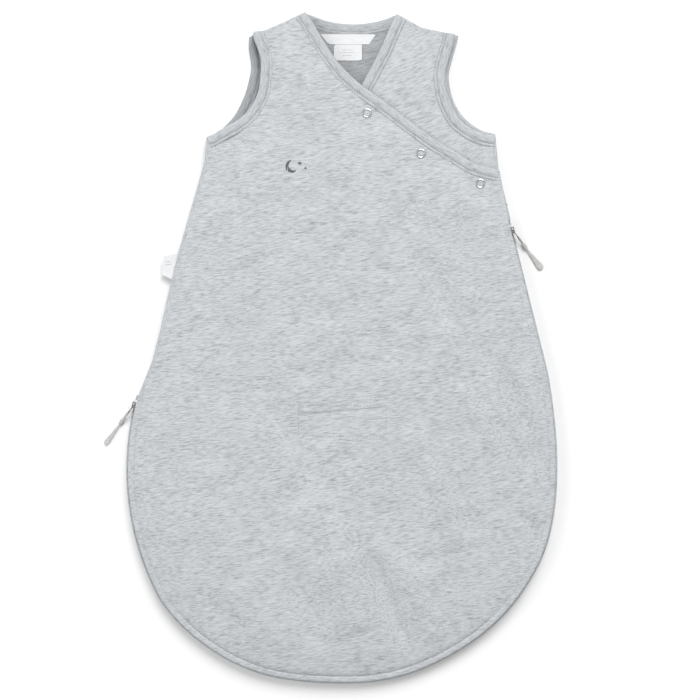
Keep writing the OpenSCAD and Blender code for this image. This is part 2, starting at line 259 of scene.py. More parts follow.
def coordinates(tree, kind="Object"):
    return add(tree, "ShaderNodeTexCoord").outputs[kind]


def tinted(colour, factor):
    return tuple(min(1.0, channel * factor) for channel in colour)


def paint(tree, shader, level, colour, stops):
    """The base colour from a 0 to 1 level: stops are (level, brightness)."""
    ramp = add(tree, "ShaderNodeValToRGB", inputs={"Fac": level})
    elements = ramp.color_ramp.elements
    while len(elements) < len(stops):
        elements.new(0.5)
    for element, (place, bright) in zip(elements, stops):
        element.position = place
        element.color = (*tinted(colour, bright), 1)
    tree.links.new(ramp.outputs["Color"], shader.inputs["Base Color"])


def grain(tree, source, scale, turn=0.0, detail=3.0):
    """Noise in the 0 to 1 range, with its own count of cycles a metre along each turned axis."""
    turned = add(tree, "ShaderNodeMapping",
                 inputs={"Vector": source, "Rotation": (0, 0, turn)})
    placed = add(tree, "ShaderNodeMapping",
                 inputs={"Vector": turned.outputs["Vector"], "Scale": scale})
    noise = add(tree, "ShaderNodeTexNoise",
                inputs={"Vector": placed.outputs["Vector"], "Scale": 1.0, "Detail": detail,
                        "Roughness": 0.55})
    return noise.outputs["Fac"]


def ribs(tree, source, pitch, direction, distortion=0.0):
    """Parallel ridges a given pitch apart."""
    wave = add(tree, "ShaderNodeTexWave", {"bands_direction": direction},
               {"Vector": source, "Scale": TURN / 20 / pitch,
                "Distortion": distortion, "Detail": 1.0})
    return wave.outputs["Fac"]


def raise_surface(tree, shader, height, strength, distance):
    bump = add(tree, "ShaderNodeBump",
               inputs={"Height": height, "Strength": strength, "Distance": distance})
    tree.links.new(bump.outputs["Normal"], shader.inputs["Normal"])


def set_inputs(shader, values):
    for name, value in values.items():
        shader.inputs[name].default_value = value


JERSEY = (0.490, 0.511, 0.530)
# How much darker the reverse face is drawn: partly the knit's duller back, mostly painted shade inside the bag
REVERSE_SIDE_AND_SHADE = 0.72
# Painted shade on the back neck strip, which lies low inside the neck
NECK_PAINTED_SHADE = 0.87
STRIP_SHADE = 0.95
KNIT_PITCH = 1.15 * MM
PATCH_SHARE = 0.18
FIBRE_SHARE = 0.28
# Steps of the grain about its middle, and how bright the jersey is at each
HEATHER = [(-0.22, 0.62), (-0.09, 0.86), (0, 1.0), (0.09, 1.09), (0.20, 1.20)]


def weighted(tree, value, share, base):
    """value times share, plus base."""
    return add(tree, "ShaderNodeMath", {"operation": "MULTIPLY_ADD"},
               {0: value, 1: share, 2: base}).outputs["Value"]


def set_roughness(tree, shader, level, smoothest, roughest):
    rough = add(tree, "ShaderNodeMapRange",
                inputs={"Value": level, "To Min": smoothest, "To Max": roughest})
    tree.links.new(rough.outputs["Result"], shader.inputs["Roughness"])


def jersey(name, slant=None, darker=1.0):
    """Heathered cotton jersey, its flecks rising to the right, or along a strip's own UV."""
    material, tree, shader = shader_tree(name)
    along_strip = slant is None
    source = coordinates(tree, "UV" if along_strip else "Object")
    turn = 0.0 if along_strip else math.radians(-slant)
    flecks = grain(tree, source, (135, 1000, 1000), turn, 3.0)
    patches = grain(tree, source, (34, 62, 62), turn, 2.0)
    fibres = grain(tree, source, (450, 2400, 2400), turn, 2.0)
    mixed = weighted(tree, fibres, FIBRE_SHARE, weighted(tree, patches, PATCH_SHARE, flecks))
    middle = (1 + PATCH_SHARE + FIBRE_SHARE) / 2
    paint(tree, shader, mixed, tinted(JERSEY, darker),
          [(middle + step, bright) for step, bright in HEATHER])
    knit = ribs(tree, source, KNIT_PITCH, "Y" if along_strip else "X", 0.6)
    raise_surface(tree, shader, weighted(tree, knit, 0.35, fibres), 0.35, 0.22 * MM)
    set_roughness(tree, shader, fibres, 0.82, 0.98)
    set_inputs(shader, {"Specular IOR Level": 0.25, "Sheen Weight": 0.12, "Sheen Roughness": 0.5})
    return material


def woven(name, colour, pitch, roughness, sheen, uv=True, contrast=0.14):
    """Plain woven tape, ribbon or label: fine ribs both ways and a little unevenness."""
    material, tree, shader = shader_tree(name)
    source = coordinates(tree, "UV" if uv else "Object")
    weft = ribs(tree, source, pitch, "X")
    warp = ribs(tree, source, pitch * 0.8, "Y")
    weave = weighted(tree, warp, 0.5, weft)
    soil = grain(tree, source, (260, 260, 260), 0.0, 3.0)
    mixed = weighted(tree, weave, 0.2, soil)
    paint(tree, shader, mixed, colour, [(0.35, 1 - contrast), (0.85, 1 + contrast / 2)])
    raise_surface(tree, shader, weave, 0.5, 0.12 * MM)
    set_roughness(tree, shader, soil, roughness - 0.08, roughness + 0.08)
    set_inputs(shader, {"Sheen Weight": sheen})
    return material


def metal(name, colour, roughness, wear):
    """Plated metal with fine scratches, duller patches and a slightly uneven surface."""
    material, tree, shader = shader_tree(name)
    source = coordinates(tree)
    scratches = grain(tree, source, (900, 6000, 6000), 0.5, 4.0)
    patches = grain(tree, source, (420, 420, 420), 0.0, 2.0)
    paint(tree, shader, patches, colour, [(0.3, 1 - wear), (0.7, 1 + wear / 2)])
    set_roughness(tree, shader, scratches, roughness * 0.7, roughness * 1.4)
    raise_surface(tree, shader, scratches, 0.15, 0.02 * MM)
    set_inputs(shader, {"Metallic": 1.0})
    return material


def nylon(name, colour):
    material, tree, shader = shader_tree(name)
    source = coordinates(tree)
    cloudy = grain(tree, source, (800, 800, 800), 0.0, 3.0)
    paint(tree, shader, cloudy, colour, [(0.3, 0.9), (0.7, 1.05)])
    set_roughness(tree, shader, cloudy, 0.35, 0.55)
    raise_surface(tree, shader, cloudy, 0.1, 0.05 * MM)
    return material


def twisted_thread(name, colour, sheen):
    """Sewing thread: the twist shows as slanting ridges along each stitch."""
    material, tree, shader = shader_tree(name)
    source = coordinates(tree)
    slanted = add(tree, "ShaderNodeMapping",
                  inputs={"Vector": source, "Rotation": (0.3, 0.2, 0.8)})
    twist = ribs(tree, slanted.outputs["Vector"], 0.35 * MM, "X", 0.5)
    paint(tree, shader, twist, colour, [(0.0, 0.86), (1.0, 1.0)])
    raise_surface(tree, shader, twist, 0.3, 0.05 * MM)
    set_inputs(shader, {"Roughness": 0.6, "Sheen Weight": sheen})
    return material


JERSEY_PANEL = jersey("jersey_panel", 8)
JERSEY_LAP = jersey("jersey_underlap", 19)
JERSEY_STRIP = jersey("jersey_strip", darker=STRIP_SHADE)
# Reverse-face jersey darkened as painted shade, for the bag's inside and the slot facings
JERSEY_INSIDE_SHADED = jersey("jersey_inside", 12, REVERSE_SIDE_AND_SHADE)
# Painted shade: the left armhole's back strip is drawn darker than the right one's
JERSEY_SHADED_ARM_STRIP = jersey("jersey_inside_strip", darker=REVERSE_SIDE_AND_SHADE)
# Same binding jersey, darkened as painted shade for the back neck
JERSEY_NECK_SHADED_STRIP = jersey("jersey_neck_strip", darker=NECK_PAINTED_SHADE)
TAPE = woven("zip_tape", (0.50, 0.52, 0.535), 0.7 * MM, 0.8, 0.05)
RIBBON = woven("pull_ribbon", (0.50, 0.50, 0.48), 0.8 * MM, 0.7, 0.1, contrast=0.25)
LABEL = woven("label_satin", (0.76, 0.77, 0.785), 0.45 * MM, 0.5, 0.15, uv=False, contrast=0.05)
LABEL_MARK = woven("label_marks", (0.42, 0.43, 0.45), 0.45 * MM, 0.6, 0.0, uv=False)
COIL = nylon("zip_coil", (0.46, 0.48, 0.49))
DARK_NICKEL = metal("dark_nickel", (0.30, 0.295, 0.285), 0.34, 0.25)
BRIGHT_NICKEL = metal("bright_nickel", (0.62, 0.62, 0.61), 0.2, 0.12)
# Both threads are drawn darker than the jersey as painted shade of the stitch grooves
SEWING_SHADED = twisted_thread("sewing_thread", (0.33, 0.35, 0.37), 0.05)
SEWING_PALE_SHADED = twisted_thread("sewing_thread_pale", (0.38, 0.40, 0.42), 0.05)
EMBROIDERY = twisted_thread("embroidery_thread", (0.115, 0.125, 0.14), 0.2)

# ---- Pieces from points ----


def make_piece(name, shape, material, slot):
    """A smooth mesh piece from (points, faces, uvs); uvs is one pair for each point, or None."""
    points, faces, uvs = shape
    mesh = bpy.data.meshes.new(name)
    mesh.from_pydata([tuple(p) for p in points], [], [tuple(f) for f in faces])
    mesh.materials.append(material)
    mesh.shade_smooth()
    mesh.set_sharp_from_angle(angle=math.radians(55))
    if uvs is not None:
        corner_points = np.empty(len(mesh.loops), np.int32)
        mesh.loops.foreach_get("vertex_index", corner_points)
        layer = mesh.uv_layers.new(name="along")
        layer.data.foreach_set("uv", np.asarray(uvs, np.float32)[corner_points].ravel())
    piece = new_object(name, mesh)
    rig.slot(piece, slot)
    return piece


def joined(shapes):
    """One (points, faces, uvs) out of several."""
    points, faces, uvs, count = [], [], [], 0
    for shape_points, shape_faces, shape_uvs in shapes:
        points.append(shape_points)
        uvs.append(shape_uvs)
        faces += [[i + count for i in face] for face in shape_faces]
        count += len(shape_points)
    return np.concatenate(points), faces, np.concatenate(uvs)


def tube(rings):
    """Skin over closed rings of points, with both ends capped. rings is (ring, point, xyz)."""
    ring_count, sides = rings.shape[:2]
    faces = []
    for i in range(ring_count - 1):
        for j in range(sides):
            k = (j + 1) % sides
            faces.append([i * sides + j, i * sides + k, (i + 1) * sides + k, (i + 1) * sides + j])
    faces.append(list(range(sides))[::-1])
    faces.append([(ring_count - 1) * sides + j for j in range(sides)])
    steps = np.linalg.norm(np.diff(rings.mean(axis=1), axis=0), axis=1)
    along = np.concatenate([[0], np.cumsum(steps)])
    closed = np.concatenate([rings[0], rings[0][:1]])
    around = np.concatenate([[0], np.cumsum(np.linalg.norm(np.diff(closed, axis=0), axis=1))])
    uvs = np.stack(np.meshgrid(along, around[:-1], indexing="ij"), axis=-1).reshape(-1, 2)
    return rings.reshape(-1, 3), faces, uvs


# ---- Lines ----


def smooth_curve(knots, steps):
    """A curve through every knot, with its ends on the first and the last."""
    knots = np.array(knots, float)
    padded = np.concatenate([knots[:1], knots, knots[-1:]])
    line = []
    for a, b, c, d in zip(padded, padded[1:], padded[2:], padded[3:]):
        for t in np.arange(steps) / steps:
            line.append((2 * b + (c - a) * t + (2 * a - 5 * b + 4 * c - d) * t * t
                         + (3 * b - a - 3 * c + d) * t ** 3) / 2)
    return np.array(line + [knots[-1]])


def lengths_along(line):
    return np.concatenate([[0], np.cumsum(np.linalg.norm(np.diff(line, axis=0), axis=1))])


def resample(line, step):
    """The same line with points about a step apart."""
    along = lengths_along(line)
    places = np.linspace(0, along[-1], max(2, round(along[-1] / step) + 1))
    return np.stack([np.interp(places, along, line[:, axis]) for axis in range(line.shape[1])], 1)


def tangents(line):
    ahead = np.concatenate([line[1:], line[-1:]])
    behind = np.concatenate([line[:1], line[:-1]])
    return (ahead - behind) / np.linalg.norm(ahead - behind, axis=1, keepdims=True)


def inward(line):
    direction = tangents(line)
    return np.stack([direction[:, 1], -direction[:, 0]], axis=1)


def inset(line, distance):
    return line + inward(line) * distance


def nearest(points, line, closed=False):
    """Distance from each point to a line, and how far along the line the nearest place is."""
    ends = np.concatenate([line, line[:1]]) if closed else line
    along = lengths_along(ends)
    best = np.full(len(points), 1e9)
    place = np.zeros(len(points))
    for a, b, start in zip(ends, ends[1:], along):
        run = b - a
        share = np.clip((points - a) @ run / max(run @ run, 1e-18), 0, 1)
        gap = np.linalg.norm(points - a - share[:, None] * run, axis=1)
        closer = gap < best
        best[closer] = gap[closer]
        place[closer] = (start + share * np.linalg.norm(run))[closer]
    return best, place


def gap_to(points, lines, closed=False):
    """Distance from each point to the nearest of several lines."""
    return np.min([nearest(points, line, closed)[0] for line in lines], axis=0)


def inside(points, outline):
    """Which points a closed outline holds."""
    found = np.zeros(len(points), bool)
    for (ax, ay), (bx, by) in zip(outline, np.roll(outline, -1, axis=0)):
        if ay == by:
            continue
        crosses = (points[:, 1] > ay) != (points[:, 1] > by)
        found ^= crosses & (points[:, 0] < ax + (points[:, 1] - ay) * (bx - ax) / (by - ay))
    return found


def area(outline):
    x, y = outline.T
    return abs(np.dot(x, np.roll(y, -1)) - np.dot(y, np.roll(x, -1))) / 2


# ---- Edges read from the CAD frame ----


def level_outlines(node, height):
    """Outlines of a CAD node's upward faces at one height, clockwise, longest first."""
    shape = bmesh.new()
    shape.from_mesh(nodes[node].data)
    bmesh.ops.remove_doubles(shape, verts=shape.verts, dist=0.001 * MM)
    flat_faces = [face for face in shape.faces
                  if face.normal.z > 0.9
                  and abs(face.calc_center_median().z - height) < 0.05 * MM]
    kept = set(flat_faces)
    back = {}
    for face in flat_faces:
        for corner in face.loops:
            if not any(other in kept and other is not face for other in corner.edge.link_faces):
                back[corner.link_loop_next.vert] = corner.vert
    outlines = []
    while back:
        first = next(iter(back))
        line = [first.co.xy[:]]
        vertex = back.pop(first)
        while vertex is not first:
            line.append(vertex.co.xy[:])
            vertex = back.pop(vertex)
        outlines.append(np.array(line))
    shape.free()
    return sorted(outlines, key=lambda line: -lengths_along(line)[-1])


def stretch(outline, start, end):
    """The part of a closed outline from the point nearest start to the one nearest end."""
    first = int(np.argmin(np.linalg.norm(outline - start, axis=1)))
    turned = np.roll(outline, -first, axis=0)
    last = int(np.argmin(np.linalg.norm(turned - end, axis=1)))
    return turned[:last + 1]


def top_of(node):
    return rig.box(node)[1].z


def middle_of(node):
    return np.array([(low + high) / 2 for low, high in zip(*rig.box(node))][:2])


def mm(x, y):
    return np.array([x, y]) * MM


FRONT_TOP = top_of("front_panel")
FRONT_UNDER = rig.box("front_panel")[0].z
BACK_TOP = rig.box("zip_tape_back")[0].z
LAP_TOP = top_of("underlap")
CLOTH = FRONT_TOP - FRONT_UNDER


def joint(name):
    return next(found for found in frame["joints"] if found["name"] == name)


# The line that the front folds open about
fold = joint("front_fold")
FOLD_POINT = np.array(fold["pos_m"][:2])
FOLD_ACROSS = np.array([-fold["axis"][1], fold["axis"][0]])


def fold_distance(points):
    return (points - FOLD_POINT) @ FOLD_ACROSS


def across_fold(outlines):
    """One outline out of the pieces that the fold line cut the front into."""
    runs = []
    for outline in outlines:
        at_fold = np.abs(fold_distance(outline)) < 0.5 * MM
        first = int(np.flatnonzero(at_fold)[0])
        turned = np.roll(outline, -first, axis=0)
        runs.append(turned[~np.roll(at_fold, -first)])
    whole = runs.pop(0)
    while runs:
        gaps = [np.linalg.norm(run[0] - whole[-1]) for run in runs]
        whole = np.concatenate([whole, runs.pop(int(np.argmin(gaps)))])
    return whole


FRONT = across_fold(level_outlines("front_panel", FRONT_TOP)[:1]
                    + level_outlines("front_side_panel", FRONT_TOP))
BACK = level_outlines("back_panel", BACK_TOP)[0]
LAP = level_outlines("underlap", LAP_TOP)[0]

# Corners that part the outlines into edges
NECK_LEFT = mm(-35, 320)
NECK_RIGHT = mm(52.5, 318.5)
WRAP_FOOT = mm(149.8, 169.4)
LAP_FOOT = mm(6, 222)
LAP_SIDE = mm(158.5, 131)
ZIP_TOP = mm(161.3, 119.7)
ZIP_END = mm(-195.8, -44.8)
SIDE_FOOT = mm(-187.5, -40.5)
ARM_LEFT_FOOT = mm(-128.3, 201.1)
ARM_LEFT_TOP_BACK = mm(-88, 298)
ARM_LEFT_TOP_FRONT = mm(-84, 299.3)
ARM_RIGHT_TOP_BACK = mm(111, 299)
ARM_RIGHT_FOOT_BACK = mm(147, 204.5)
ARM_RIGHT_TOP_FRONT = mm(107.5, 299.5)
ARM_RIGHT_FOOT_FRONT = mm(146, 202.3)

neck_front = stretch(FRONT, NECK_LEFT, WRAP_FOOT)
wrap_side = stretch(FRONT, WRAP_FOOT, ZIP_TOP)
front_zip = stretch(FRONT, ZIP_TOP, ZIP_END)
side_left = stretch(FRONT, SIDE_FOOT, ARM_LEFT_FOOT)
arm_left_front = stretch(FRONT, ARM_LEFT_FOOT, ARM_LEFT_TOP_FRONT)
shoulder_left = stretch(FRONT, ARM_LEFT_TOP_FRONT, NECK_LEFT)
neck_back = stretch(BACK, NECK_LEFT, NECK_RIGHT)
arm_right_back = stretch(BACK, ARM_RIGHT_TOP_BACK, ARM_RIGHT_FOOT_BACK)
back_zip = stretch(BACK, ZIP_TOP, ZIP_END)
arm_left_back = stretch(BACK, ARM_LEFT_FOOT, ARM_LEFT_TOP_BACK)
lap_neck = stretch(LAP, LAP_FOOT, NECK_RIGHT)
shoulder_right = stretch(LAP, NECK_RIGHT, ARM_RIGHT_TOP_FRONT)
arm_right_front = stretch(LAP, ARM_RIGHT_TOP_FRONT, ARM_RIGHT_FOOT_FRONT)
side_right = np.concatenate([stretch(LAP, ARM_RIGHT_FOOT_FRONT, LAP_SIDE),
                             [ZIP_TOP + 0.25 * (LAP_SIDE - ZIP_TOP)]])
lap_lower = stretch(LAP, LAP_SIDE, LAP_FOOT)

# ---- Zip pull cords ----

# Route and girth from the CAD: distance from the cross bar, and height above the surface
PULL_ROUTE = [(7.4, 6.5), (10.5, 6.1), (13.5, 4.6), (16.5, 3.0), (19.5, 2.3), (23.0, 1.6),
              (28.0, 1.3), (34.0, 1.2), (40.0, 1.2), (46.5, 1.2)]
PULL_ANGLE = math.radians(23)
KNOT_FROM, KNOT_TO = 15.5 * MM, 23.5 * MM
KNOT_TURNS = 3
CORD_WIDTH = 4 * MM
STRAND_HALF_WIDTH = 0.75 * MM
STRAND_HALF_HEIGHT = 0.28 * MM
TAIL_HALF_WIDTH = 0.8 * MM
TAIL_HALF_HEIGHT = 0.26 * MM


def pull_placer(bar, travel, hand):
    """Places points given along a pull, across it and above the floor."""
    outward = hand * np.array([-travel[1], travel[0]])
    ahead = math.cos(PULL_ANGLE) * np.array(travel) + math.sin(PULL_ANGLE) * outward
    side = np.array([-ahead[1], ahead[0]])

    def place(points):
        flat = np.array(bar) + points[:, :1] * ahead + points[:, 1:2] * side
        return np.concatenate([flat, points[:, 2:]], axis=1)
    return place


def side_and_up(line):
    side = np.tile([0.0, 1.0, 0.0], (len(line), 1))
    up = np.cross(tangents(line), side)
    return side, up * np.sign(up[:, 2:] + 1e-9)


def flattened(share):
    return np.sign(share) * abs(share) ** 0.5


def band(line, half_widths, half_height, twist):
    """A flat ribbon about a line, turned about it by its own angle at each point."""
    side, up = side_and_up(line)
    rings = []
    for angle in np.arange(12) / 12 * TURN:
        wide = flattened(math.cos(angle)) * half_widths
        high = flattened(math.sin(angle)) * half_height
        across = wide * np.cos(twist) - high * np.sin(twist)
        above = wide * np.sin(twist) + high * np.cos(twist)
        rings.append(line + side * across[:, None] + up * above[:, None])
    return tube(np.stack(rings, axis=1))


def knot(line):
    """Turns of ribbon pulled tight about the cord."""
    along = lengths_along(line)
    share = along / along[-1]
    side, up = side_and_up(line)
    swell = 0.75 + 1.35 * np.sin(math.pi * share) ** 0.6
    rings = []
    for angle in np.arange(32) / 32 * TURN:
        lay = angle - share * KNOT_TURNS * TURN
        radius = swell * (1 + 0.13 * np.cos(lay) - 0.10 * np.cos(2 * lay)) * MM
        rings.append(line + side * (radius * math.cos(angle))[:, None]
                     + up * (radius * math.sin(angle) * 0.85)[:, None])
    return tube(np.stack(rings, axis=1))


def pull_cord(name, node, swing, travel, outer_hand, body, spread_end):
    """A ribbon doubled through the eye and knotted. spread_end is its half width at the end,
    and outer_hand is 1 where the outside is on the left of the travel, -1 on its right."""
    bar = joint(swing)["pos_m"][:2]
    route = smooth_curve(np.array(PULL_ROUTE) * MM, 8)
    line = resample(np.stack([route[:, 0], np.zeros(len(route)), route[:, 1]], axis=1), 0.5 * MM)
    reach = line[:, 0]
    shapes = []
    # Two strands side by side from the eye to the knot
    neck = reach < (KNOT_FROM + KNOT_TO) / 2
    for hand in (-1, 1):
        strand = line[neck].copy()
        spread = np.clip((strand[:, 0] - strand[0, 0]) / (3 * MM), 0.15, 1)
        strand[:, 1] += hand * 0.45 * MM * spread
        strand[:, 2] += hand * 0.35 * MM * spread
        shapes.append(band(strand, STRAND_HALF_WIDTH, STRAND_HALF_HEIGHT,
                           np.full(len(strand), hand * 0.5)))
    shapes.append(knot(line[(reach > KNOT_FROM) & (reach < KNOT_TO)]))
    # Two tails that widen and part at their cut ends
    tail = line[reach > KNOT_TO - 2 * MM]
    share = (tail[:, 0] - tail[0, 0]) / (tail[-1, 0] - tail[0, 0])
    for hand in (-1, 1):
        ply = tail.copy()
        ply[:, 2] += hand * (0.35 + 0.5 * share ** 2) * MM
        ply[:, 1] += hand * 0.35 * share * MM
        rounded = np.sqrt(np.clip((1.03 - share) / 0.12, 0.1, 1))
        widths = TAIL_HALF_WIDTH + (spread_end - TAIL_HALF_WIDTH) * share ** 1.2
        shapes.append(band(ply, widths * rounded, TAIL_HALF_HEIGHT, hand * 0.16 * share))
    points, faces, uvs = joined(shapes)
    place = pull_placer(bar, travel, outer_hand)
    piece = make_piece(name, (place(points), faces, uvs), RIBBON, "pull_cord")
    path = place(line)
    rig.ride(piece, body)
    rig.replaces(piece, node)
    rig.cord(piece, exit=path[0], length=float(lengths_along(path)[-1]), diameter=CORD_WIDTH,
            far_end="bare", stiffness="limp", lay="loose", path=path)


# Each slider's direction of travel is that of the CAD
pull_cord("ribbon_upper", "upper_pull_cord", "upper_pull_swing", (0.24184, -0.97032), 1,
          "upper_pull", 3.4 * MM)
pull_cord("ribbon_lower", "lower_pull_cord", "lower_pull_swing", (-0.2368, -0.9716), -1,
          "lower_pull", 2.3 * MM)

# ---- Shape of the front ----

# Slit that a harness strap goes through, as it lies closed
SLIT = smooth_curve([mm(-37.5, -61.8), mm(-20, -60.8), mm(0, -59.2), mm(20, -57.4),
                     mm(39.5, -55.8)], 8)
slit_half = np.full((len(SLIT), 1), 0.09 * MM)
slit_half[[0, -1]] = 0.03 * MM
slit_hole = np.concatenate([inset(SLIT, slit_half), inset(SLIT, -slit_half)[::-1]])

SNAPS = [middle_of(f"snap_cap_ring_{n}") for n in (1, 2, 3)]
CROWN = 2.6 * MM
CROWN_START = 13 * MM
CROWN_RUN = 55 * MM
PILLOW = 5.0 * MM
PILLOW_START = 2 * MM
PILLOW_RUN = 20 * MM
PILLOW_FADE = 45 * MM
BOUND_EDGES = (neck_front, wrap_side, side_left, arm_left_front, shoulder_left)
SEAM_INSET = 5.2 * MM
FOOT_SEAM = -210 * MM
SEAM_DEPTH = 1.3 * MM
SEAM_HALF_WIDTH = 1.1 * MM
EDGE_TUCK = 0.5 * MM
RIPPLE = 0.35 * MM
RIPPLE_LENGTH = 8.5 * MM
SIDE_SEAM_INSET = 9 * MM
SIDE_SEAM_DEPTH = 0.40 * MM
LIP_STEP = 0.40 * MM
LIP_SINK = 0.35 * MM
SNAP_FLAT = 6.5 * MM
SNAP_DIMPLE = 16 * MM
# Unevenness in millimetres: height, length of its waves and seed
UNEVEN = [(0.8, 90, 3), (0.45, 38, 5)]

# Soft folds in millimetres: knots, half width and height
FOLDS = [
    ([(126, 8), (146, -14), (164, -46), (176, -78)], 7, -2.8),
    ([(172, -62), (184, -98), (195, -130)], 6, -2.9),
    ([(150, 2), (178, -38), (198, -92)], 8, 1.6),
    ([(131, -46), (158, -86), (177, -124)], 6, -2.8),
    ([(112, -36), (142, -80), (160, -122)], 8, 1.9),
    ([(86, -96), (112, -142), (128, -180)], 8, -2.6),
    ([(64, -80), (96, -140), (112, -190)], 10, 2.6),
    ([(170, -158), (184, -172), (190, -190)], 5, -2.6),
    ([(28, -190), (42, -236), (63, -286)], 8, -5.2),
    ([(56, -196), (72, -240), (92, -276)], 9, 2.6),
    ([(-12, -158), (2, -215), (18, -270)], 14, 3.8),
    ([(-52, -200), (-34, -240), (-20, -288)], 14, -2.9),
    ([(-140, -226), (-118, -250), (-92, -268)], 9, -2.3),
    ([(72, 92), (88, 60), (112, 10)], 9, -2.9), ([(96, 100), (128, 30)], 9, 2.3),
    ([(66, 146), (68, 118)], 5, -2.0), ([(86, 142), (90, 104)], 5, -2.0),
    ([(116, 140), (122, 84)], 6, -2.0), ([(-110, 205), (-84, 182)], 8, -1.7),
    ([(-66, -56), (-40, -90), (-22, -132)], 12, -2.3),
    ([(-174, -88), (-160, -130), (-134, -160)], 14, -2.3),
]


def waves(points, length, seed):
    """Gentle unevenness from crossing waves of about one length, from -1 to 1 or so."""
    chance = np.random.default_rng(seed)
    total = np.zeros(len(points))
    for _ in range(9):
        heading = chance.uniform(0, TURN)
        cycle = TURN / (length * chance.uniform(0.7, 1.5))
        direction = np.array([math.cos(heading), math.sin(heading)])
        total += np.sin(points @ direction * cycle + chance.uniform(0, TURN))
    return total / 3


def bell(distance, half_width):
    return np.exp(-(distance / half_width) ** 2)


def clear_of_snaps(points):
    """0 where a snap holds the cloth down flat, rising to 1 around it."""
    share = np.ones(len(points))
    for snap in SNAPS:
        away = np.clip((np.linalg.norm(points - snap, axis=1) - SNAP_FLAT) / SNAP_DIMPLE, 0, 1)
        share *= away * away * (3 - 2 * away)
    return share


def fold_rise(points, edge_gap):
    """Height of the soft folds, each fading out at both ends and at the cloth's edge."""
    rise = np.zeros(len(points))
    for knots, width, height in FOLDS:
        line = smooth_curve(np.array(knots) * MM, 4)
        gap, place = nearest(points, line)
        share = place / lengths_along(line)[-1]
        depth = height * MM * np.sqrt(4 * share * (1 - share))
        rise += depth * bell(gap, width * MM) * np.clip(edge_gap / (8 * MM), 0, 1)
    return rise


def seam_rise(points, zip_gap, along):
    """Gathers and grooves of the seams; the zip's seam shows most at the foot."""
    ripple = np.sin(along * TURN / RIPPLE_LENGTH + 2.2 * np.sin(along / (23 * MM)))
    swing = 0.5 + 0.5 * np.sin(along / (61 * MM) + 1.0)
    rise = RIPPLE * ripple * swing * bell(zip_gap - 9 * MM, 7 * MM)
    at_foot = np.clip((FOOT_SEAM - points[:, 1]) / (60 * MM), 0.1, 1)
    rise -= SEAM_DEPTH * at_foot * bell(zip_gap - SEAM_INSET, SEAM_HALF_WIDTH)
    rise -= EDGE_TUCK * bell(zip_gap, 1.2 * MM)
    side_gap, _ = nearest(points, side_left)
    return rise - SIDE_SEAM_DEPTH * bell(side_gap - SIDE_SEAM_INSET, 1.0 * MM)


def slit_rise(points):
    """The slit's upper lip lies over the lower one."""
    slit_gap, _ = nearest(points, SLIT)
    lip_line = np.interp(points[:, 0], SLIT[:, 0], SLIT[:, 1])
    lip = np.tanh((points[:, 1] - lip_line) / (1.0 * MM))
    return (LIP_STEP * lip - LIP_SINK) * bell(slit_gap, 6 * MM)


def front_height(points):
    """Height of the front's outer face."""
    edge_gap, _ = nearest(points, FRONT, closed=True)
    zip_gap, along = nearest(points, front_zip)
    bound_gap = gap_to(points, BOUND_EDGES)
    settled = 1 - np.exp(-np.clip(edge_gap - CROWN_START, 0, None) / CROWN_RUN)
    plump = 1 - np.exp(-np.clip(zip_gap - PILLOW_START, 0, None) / PILLOW_RUN)
    lower_left = np.clip((-points @ [0.6, 0.8] - 40 * MM) / (150 * MM), 0.25, 1)
    rise = CROWN * settled
    rise += PILLOW * lower_left * plump * np.clip(bound_gap / PILLOW_FADE, 0, 1)
    rise += settled * sum(height * waves(points, length * MM, seed)
                          for height, length, seed in UNEVEN) * MM
    rise = (rise + fold_rise(points, edge_gap)) * clear_of_snaps(points)
    return FRONT_TOP + rise + seam_rise(points, zip_gap, along) + slit_rise(points)


def front_under(points):
    return front_height(points) - CLOTH


# ---- Cloth ----

EDGE_STEP = 3.6 * MM
HOLE_STEP = 1.6 * MM
EDGE_ROWS = (1.0 * MM, 2.4 * MM, 4.0 * MM, SEAM_INSET, 6.5 * MM)


def on_cloth(points, outlines):
    """Which points lie inside the first outline and in none of its holes, the others."""
    held = inside(points, outlines[0])
    for hole in outlines[1:]:
        held &= ~inside(points, hole)
    return held


def cloth_points(rims, outlines, spacing):
    """Points inside a cloth: rows beside its rims, then an even grid."""
    kept = []
    for rim in rims:
        closed = np.concatenate([rim[-1:], rim, rim[:1]])
        for distance in EDGE_ROWS:
            for hand in (-1, 1):
                row = inset(closed, hand * distance)[1:-1]
                kept.append(row[gap_to(row, rims, closed=True) > 0.85 * distance])
    low, high = outlines[0].min(axis=0), outlines[0].max(axis=0)
    xs = np.arange(low[0], high[0], spacing)
    ys = np.arange(low[1], high[1], spacing * 0.866)
    grid = np.array([(x + (row % 2) * spacing / 2, y) for row, y in enumerate(ys) for x in xs])
    kept.append(grid[gap_to(grid, rims, closed=True) > EDGE_ROWS[-1] + spacing * 0.45])
    filling = np.concatenate(kept)
    return filling[on_cloth(filling, outlines)]


def triangles(rims, outlines, filling):
    """The flat cloth as (points, faces), with its rims as edges and every face turned up."""
    edges, start = [], 0
    for rim in rims:
        count = len(rim)
        edges += [(start + i, start + (i + 1) % count) for i in range(count)]
        start += count
    points = np.concatenate(rims + [filling])
    found = geometry.delaunay_2d_cdt([Vector(p) for p in points], edges, [], 0, 1e-9)
    flat = np.array([tuple(p) for p in found[0]])
    faces = np.array(found[2])
    faces = faces[on_cloth(flat[faces].mean(axis=1), outlines)]
    a, b, c = (flat[faces[:, i]] for i in range(3))
    turn = (b[:, 0] - a[:, 0]) * (c[:, 1] - a[:, 1]) - (b[:, 1] - a[:, 1]) * (c[:, 0] - a[:, 0])
    faces[turn < 0] = faces[turn < 0][:, ::-1]
    return flat, faces


def walls(faces, count):
    """Quads round the rims, down to the lower face, whose points come count later."""
    sides = {}
    for face in faces.tolist():
        for i in range(3):
            a, b = face[i], face[(i + 1) % 3]
            if (b, a) in sides:
                del sides[(b, a)]
            else:
                sides[(a, b)] = True
    return [[a + count, b + count, b, a] for a, b in sides]


